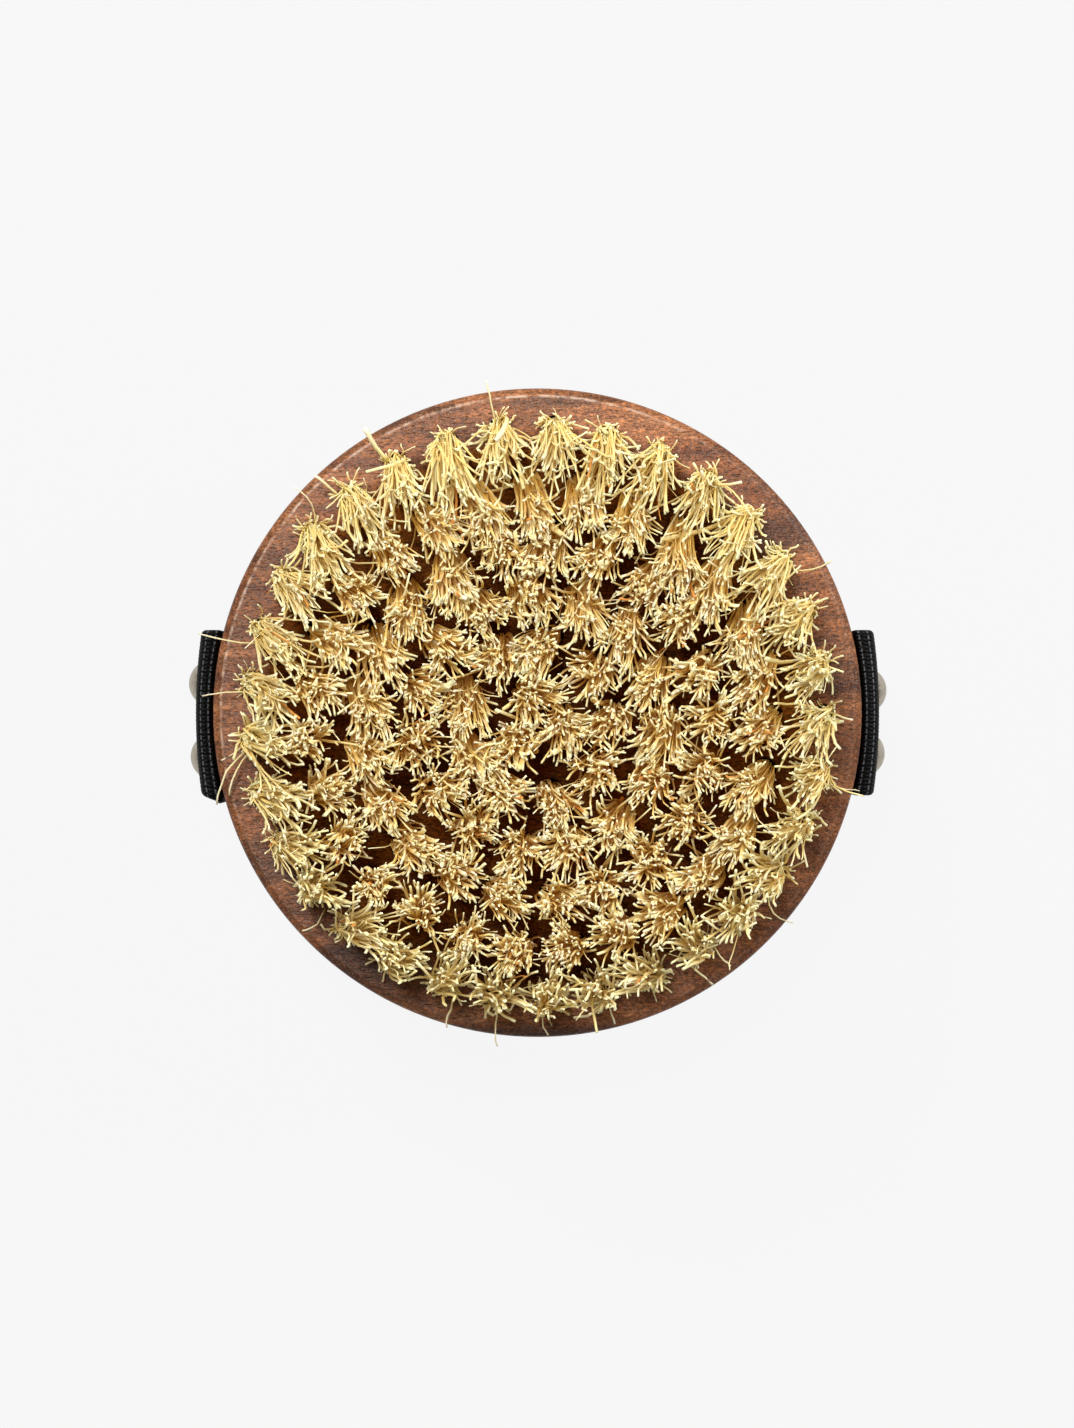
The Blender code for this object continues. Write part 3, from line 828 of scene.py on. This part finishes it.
def make_bristles():
    """The fibres, one piece for each ring, but three for the outer one, to keep their size down."""
    material = sisal()
    add_strays(material)
    for ring in range(1, RINGS + 1):
        tufts = range(tufts_in(ring))
        if ring == RINGS:
            third = tufts_in(ring) // 3
            for letter, first in zip("abc", tufts[::third]):
                arc = tufts[first:first + third]
                nodes = [f"tuft_outer_{i + 1:02d}" for i in arc]
                add_fibres(material, f"fibres_ring_{ring}_{letter}", ring, arc, nodes)
        elif ring == 1:
            add_fibres(material, "fibres_ring_1", ring, tufts, ["tufts_ring_1"])
        else:
            nodes = [f"tufts_ring_{ring}_{letter}" for letter in "abc"]
            add_fibres(material, f"fibres_ring_{ring}", ring, tufts, nodes)


def add_fibres(material, name, ring, tufts, nodes):
    fibres = Fibres()
    for index in tufts:
        add_tuft(fibres, ring, index)
    link(name, fibres.mesh(name), material, "sisal", "brush", *nodes)


def add_strays(material):
    """The few long fibres that lie over the board's rim, where the photograph shows them."""
    fibres = Fibres()
    for root_x, root_y, tip_x, tip_y, tip_z, width in STRAYS:
        root = np.array((root_x, root_y, STRAY_ROOT_Z))
        tip = np.array((tip_x, tip_y, tip_z))
        run = tip - root
        square = np.array((-run[1], run[0], 0.0)) * rng.normal(0, 0.15)
        aside = square + STRAY_LIFT
        controls = (root, root + run * 0.35 + aside, tip - run * 0.3 + aside, tip)
        fibres.add(controls, width, 0.7, (OUTER_STRAW, TIP_PALE, 0.8), SHORT_WAVINESS)
    link("fibres_stray", fibres.mesh("fibres_stray"), material, "sisal", "brush")


def strap_line():
    """The strap's stations on its +X side, from the hem's end to the middle of the crown.

    Each is (kind, share): which stretch it lies on, and how far along that stretch.
    """
    stations = [("hem", i / 10) for i in range(10)]
    stations += [("hem_weave", i / 12) for i in range(12)]
    stations += [("fold", i / 14) for i in range(15)]
    stations += [("outer_weave", i / 18) for i in range(1, 19)]
    stations += [("outer", i / 14) for i in range(1, 15)]
    stations += [("arch", i / 48) for i in range(1, 49)]
    stations += [("crown", i / 24) for i in range(1, 25)]
    return stations


def strap_point(kind, share, across):
    """Where the strap's middle surface lies at a station: x and z for each place across the webbing."""
    hem_x = np.sqrt(HEM_RADIUS**2 - across**2)
    outer_x = STRAP_RADIUS - OUTER_HUG * (STRAP_RADIUS - np.sqrt(STRAP_RADIUS**2 - across**2))
    fold_radius = (outer_x - hem_x) / 2
    fold_z = FACE_Z - FOLD_BELOW_FACE - WEBBING_THICKNESS / 2 - fold_radius
    weave_z = fold_z - WOVEN_BELOW_FOLD
    hem_z = BACK_Z + HEM_ABOVE_BACK
    if kind == "hem":
        return hem_x, hem_z + (weave_z - hem_z) * share
    if kind == "hem_weave":
        return hem_x, weave_z + (fold_z - weave_z) * share
    if kind == "fold":
        turn = math.pi * (1 - share)
        return hem_x + fold_radius * (1 + math.cos(turn)), fold_z + fold_radius * math.sin(turn)
    if kind == "outer_weave":
        return outer_x, fold_z + (weave_z - fold_z) * share
    if kind == "outer":
        return outer_x, weave_z + (BACK_Z - weave_z) * share
    crown_end = CROWN_LENGTH / 2
    crown_z = WEBBING_THICKNESS / 2
    if kind == "arch":
        ahead, down = math.cos(math.pi / 2 * share), math.sin(math.pi / 2 * share)
        fall = STRAP_RADIUS - outer_x
        x = crown_end + (STRAP_RADIUS - crown_end) * ahead - fall * ahead**3
        return x, BACK_Z - (BACK_Z - crown_z) * down + fall * ahead**2 * down
    return crown_end * (1 - share) + 0 * across, crown_z + 0 * across


def webbing_outline():
    """The webbing's outline: places across it, how far out each is, and which of them are woven."""
    half_width, half_thickness = WEBBING_WIDTH / 2, WEBBING_THICKNESS / 2
    ribs = round((WEBBING_WIDTH - WEBBING_THICKNESS) / YARN_PITCH)
    flat = half_width - half_thickness
    across = np.linspace(-flat, flat, ribs * 4 + 1)
    turns = np.radians(np.arange(72, -73, -36))
    edge_across, edge_out = flat + half_thickness * np.cos(turns), half_thickness * np.sin(turns)
    places = np.concatenate([across, edge_across, across[::-1], -edge_across])
    outward = np.concatenate([np.full(len(across), half_thickness), edge_out,
                              np.full(len(across), -half_thickness), -edge_out])
    woven = np.abs(outward) > half_thickness * 0.999
    return places, outward, woven


def strap_middle(places):
    """The strap's middle surface from the right end to the left: a point at each station and place."""
    half_line = [strap_point(kind, share, places) for kind, share in strap_line()]
    right = np.array([np.stack([x, places, z], -1) for x, z in half_line])
    left = right[:-1][::-1] * np.array((-1, 1, 1))
    # the hem's corner on the left is askew
    hemmed = np.array([1 - share if kind == "fold" else float(kind.startswith("hem"))
                       for kind, share in strap_line()])
    hemmed = hemmed[:-1][::-1][:, None]
    left[..., 1] -= HEM_SLANT * hemmed * np.clip(-places / (WEBBING_WIDTH / 2), 0, 1) ** 3
    return np.concatenate([right, left])


def sleeve_mesh(name, points):
    """A closed mesh through rings of points, one ring for each row."""
    rows, columns = points.shape[:2]
    index = np.arange(rows * columns).reshape(rows, columns)
    following = np.roll(index, -1, axis=1)
    quads = np.stack([index[:-1], following[:-1], following[1:], index[1:]], -1).reshape(-1, 4)
    faces = [tuple(quad) for quad in quads.tolist()]
    faces += [tuple(index[0][::-1].tolist()), tuple(index[-1].tolist())]
    mesh = bpy.data.meshes.new(name)
    mesh.from_pydata(points.reshape(-1, 3).tolist(), [], faces)
    bm = bmesh.new()
    bm.from_mesh(mesh)
    bmesh.ops.recalc_face_normals(bm, faces=bm.faces)
    bm.to_mesh(mesh)
    bm.free()
    return mesh


def make_strap():
    """One length of webbing: hemmed and folded at each end, and arched under the board."""
    places, outward, woven = webbing_outline()
    middle = strap_middle(places)
    # lengths are measured on one line along the strap, so that the rows of the weave run straight
    steps = np.linalg.norm(np.diff(middle, axis=0), axis=2)
    lengths = np.concatenate([np.zeros((1, len(places))), np.cumsum(steps, axis=0)])
    lengths = np.broadcast_to(lengths[:, len(places) // 8][:, None], lengths.shape)
    along = np.gradient(middle, axis=0)
    along /= np.linalg.norm(along, axis=2, keepdims=True)
    normal = np.cross(along, np.array((0.0, 1.0, 0.0)))
    normal /= np.linalg.norm(normal, axis=2, keepdims=True)

    across_turn = math.pi * places[None, :] / YARN_PITCH
    along_turn = math.pi * lengths / CROWN_PITCH
    warp = np.abs(np.cos(across_turn))
    brick = np.cos(along_turn + math.pi / 2 * np.floor(places / YARN_PITCH + 0.5)[None, :])
    depth = YARN_DEPTH * (0.6 * warp + 0.4 * brick**2 - 0.5)
    lift = np.where(woven[None, :], depth * np.sign(outward)[None, :], 0.0)
    mesh = sleeve_mesh("strap_webbing", middle + normal * (outward[None, :] + lift)[..., None])
    mesh.shade_smooth()

    # the material's map: across the webbing, and away from its nearer end
    from_end = np.minimum(lengths, lengths[-1] - lengths)
    uv = np.stack(np.broadcast_arrays(places[None, :] + WEBBING_WIDTH, from_end), -1).reshape(-1, 2)
    loop_verts = np.zeros(len(mesh.loops), np.int32)
    mesh.loops.foreach_get("vertex_index", loop_verts)
    layer = mesh.uv_layers.new(name="webbing")
    layer.data.foreach_set("uv", uv[loop_verts].astype(np.float32).ravel())

    strap = bpy.data.objects.new("strap_webbing", mesh)
    bpy.context.scene.collection.objects.link(strap)
    mesh.materials.append(webbing_material())
    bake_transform(strap)
    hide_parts("strap_end_left", "strap_end_right", "strap_arch_left", "strap_arch_right",
                "strap_crown")


def make_nails():
    """The domed nails, each with its shank in the board."""
    material = nickel()
    sphere = (NAIL_HEAD_RADIUS**2 + NAIL_HEAD_HEIGHT**2) / (2 * NAIL_HEAD_HEIGHT)
    edge = math.degrees(math.acos(NAIL_HEAD_RADIUS / sphere))
    profile = arc_points((0.0, NAIL_HEAD_HEIGHT - sphere), sphere, 90, edge + 4, 14)
    profile += [(NAIL_HEAD_RADIUS, NAIL_RIM_HEIGHT), (NAIL_HEAD_RADIUS, NAIL_BEVEL)]
    profile += [(NAIL_HEAD_RADIUS - 2 * NAIL_BEVEL, 0.0)]
    profile += [(NAIL_SHANK_RADIUS, 0.0), (NAIL_SHANK_RADIUS, NAIL_POINT_LENGTH - NAIL_TIP_DEPTH)]
    profile += [(0.0, -NAIL_TIP_DEPTH)]
    for side, places in NAIL_PLACES.items():
        for number, place in enumerate(places, start=1):
            mesh = turned_mesh(f"nail_{side}_{number}_domed", profile, NAIL_STEPS)
            angle = math.asin(place * WEBBING_WIDTH / BOARD_RADIUS)
            angle += math.pi if side == "left" else 0.0
            turn = Matrix.Rotation(angle, 4, "Z") @ Matrix.Translation((NAIL_SEAT_RADIUS, 0, NAIL_Z))
            mesh.transform(turn @ Matrix.Rotation(math.pi / 2, 4, "Y"))
            mesh.shade_smooth()
            mesh.set_sharp_from_angle(angle=SHARP_ANGLE)
            link(mesh.name, mesh, material, "nickel", "brush", f"nail_{side}_{number}")


bpy.context.scene.view_settings.view_transform = "Standard"
make_camera()
make_floor()
make_world()
make_lamp("key", KEY_DIRECTION, distance=1.6, size=0.32, watts=16.2, colour=(1.0, 0.99, 0.97))
make_lamp("high", HIGH_DIRECTION, distance=1.6, size=0.40, watts=14.0)
make_lamp("fill", FILL_DIRECTION, distance=1.4, size=0.70, watts=14.0, colour=(0.97, 0.99, 1.0))
make_board()
make_bristles()
make_strap()
make_nails()
